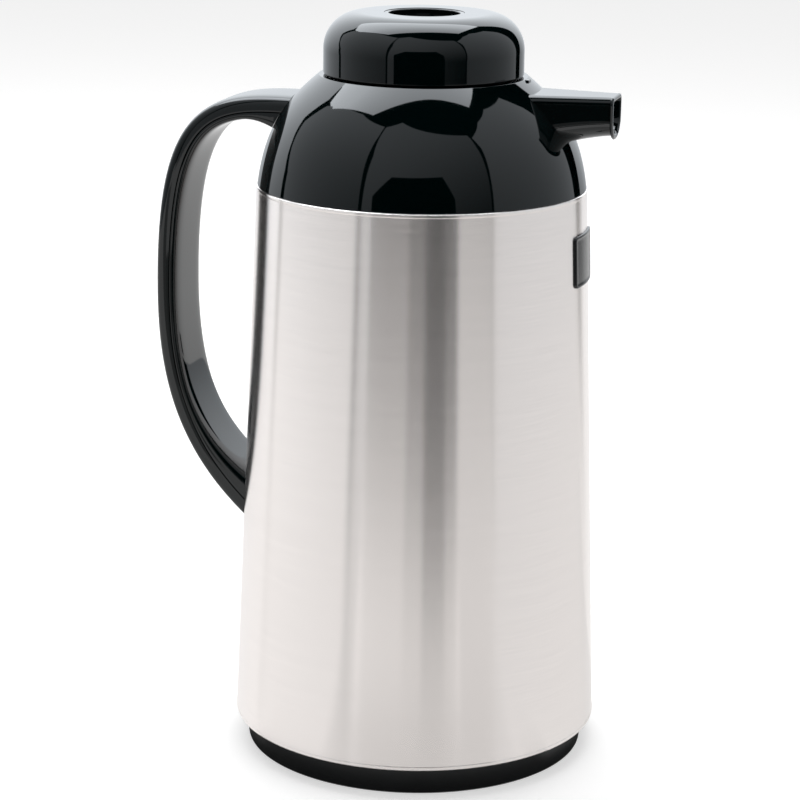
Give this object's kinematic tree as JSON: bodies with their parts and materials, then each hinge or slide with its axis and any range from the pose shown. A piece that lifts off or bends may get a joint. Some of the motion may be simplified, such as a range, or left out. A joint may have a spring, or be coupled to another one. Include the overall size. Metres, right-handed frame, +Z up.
{
  "type": "thermal carafe",
  "caption": "Conical steel vacuum carafe with a glass liner, glossy shoulder, fixed pouring spout, arched handle and a screw-in stopper with a brewing hole in its cap.",
  "frame": {"origin": "centre of the base ring's flat foot, on the surface that the carafe stands on", "axes": "+Z up along the carafe's axis, +X towards the spout, -X towards the handle"},
  "size_m": [0.1828, 0.1464, 0.295],
  "materials": {
    "jacket_steel": "satin",
    "gloss_black": "gloss",
    "matt_black": "matte",
    "silvered_glass": "polished",
    "silicone": "matte",
    "black_rubber": "matte",
    "screw_steel": "polished",
    "float_plastic": "satin"
  },
  "bodies": {
    "root": {"outer_body": "jacket_steel", "base_ring": "matt_black", "base_cover": "matt_black", "flask_cradle": "black_rubber", "flask_outer_wall": "silvered_glass", "flask_inner_wall": "silvered_glass", "flask_spacers": "silicone", "neck_gasket": "silicone", "neck_collar": "matt_black", "shoulder": "gloss_black", "spout": "gloss_black", "handle_outer": "gloss_black", "handle_inner": "gloss_black", "handle_screws": "screw_steel", "handle_backing_plate": "screw_steel", "name_plate": "gloss_black"},
    "stopper_carrier": {"stopper_gasket": "silicone"},
    "stopper": {"stopper_body": "matt_black", "cap_cover": "gloss_black", "brew_funnel": "gloss_black", "funnel_seal": "silicone", "valve_retainer": "silicone"},
    "float_ball": {"valve_ball": "float_plastic"}
  },
  "joints": [
    {"name": "stopper_lift", "type": "slide", "parent": "root", "child": "stopper_carrier", "axis": [0, 0, 1], "range_m": [0, 0.038]},
    {"name": "stopper_turn", "type": "hinge", "parent": "stopper_carrier", "child": "stopper", "pos_m": [0, 0, 0.27], "axis": [0, 0, 1], "range_deg": [0, 360]},
    {"name": "ball_lift", "type": "slide", "parent": "stopper", "child": "float_ball", "axis": [0, 0, 1], "range_m": [0, 0.0028]}
  ],
  "couplings": [
    {"joint": "stopper_lift", "follows": "stopper_turn", "m_per_rad": 0.0060479}
  ]
}
